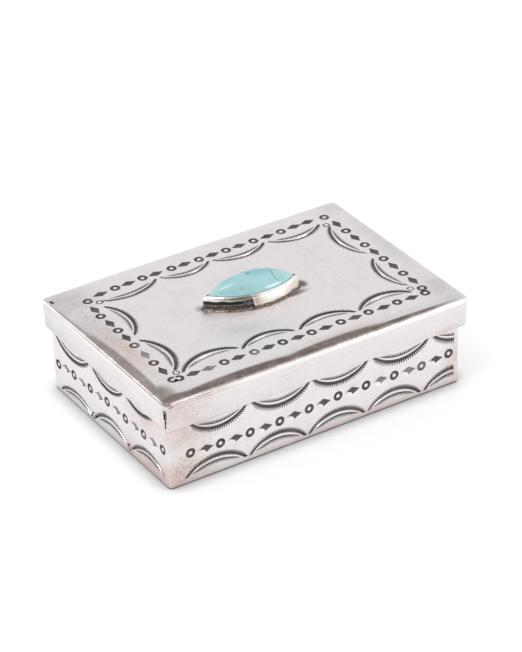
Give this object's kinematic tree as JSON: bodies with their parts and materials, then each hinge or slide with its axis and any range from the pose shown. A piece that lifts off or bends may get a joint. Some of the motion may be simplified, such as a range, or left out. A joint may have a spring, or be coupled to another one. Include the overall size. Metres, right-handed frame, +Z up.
{
  "type": "stamp box",
  "caption": "Small keepsake box of silver sheet with a lift-off slip lid, a marquise stone set on the lid and stamped borders round lid and walls.",
  "frame": {"origin": "middle of the underside, on the surface that the box stands on", "axes": "+X along the long side, +Z up; the long wall on the -Y side is the front"},
  "size_m": [0.0782, 0.0538, 0.0299],
  "materials": {
    "sterling_silver": "hand-polished sterling silver sheet with light wear, dark oxide left in the stamped recesses",
    "fine_silver": "burnished fine silver strip",
    "silver_solder": "dull silver solder, darkened",
    "turquoise": "polished turquoise cabochon with a fine dark vein",
    "card": "plain card, hidden"
  },
  "bodies": {
    "box": {"box_wall": "sterling_silver", "box_floor": "sterling_silver", "floor_solder": "silver_solder", "wall_seam_solder": "silver_solder"},
    "lid": {"lid_plate": "sterling_silver", "lid_rim": "sterling_silver", "lid_solder": "silver_solder", "rim_seam_solder": "silver_solder", "bezel": "fine_silver", "bezel_solder": "silver_solder", "stone": "turquoise", "stone_bedding": "card"}
  },
  "joints": [
    {"name": "lid_lift", "type": "slide", "parent": "box", "child": "lid", "axis": [0, 0, 1], "range_m": [0, 0.045]}
  ]
}
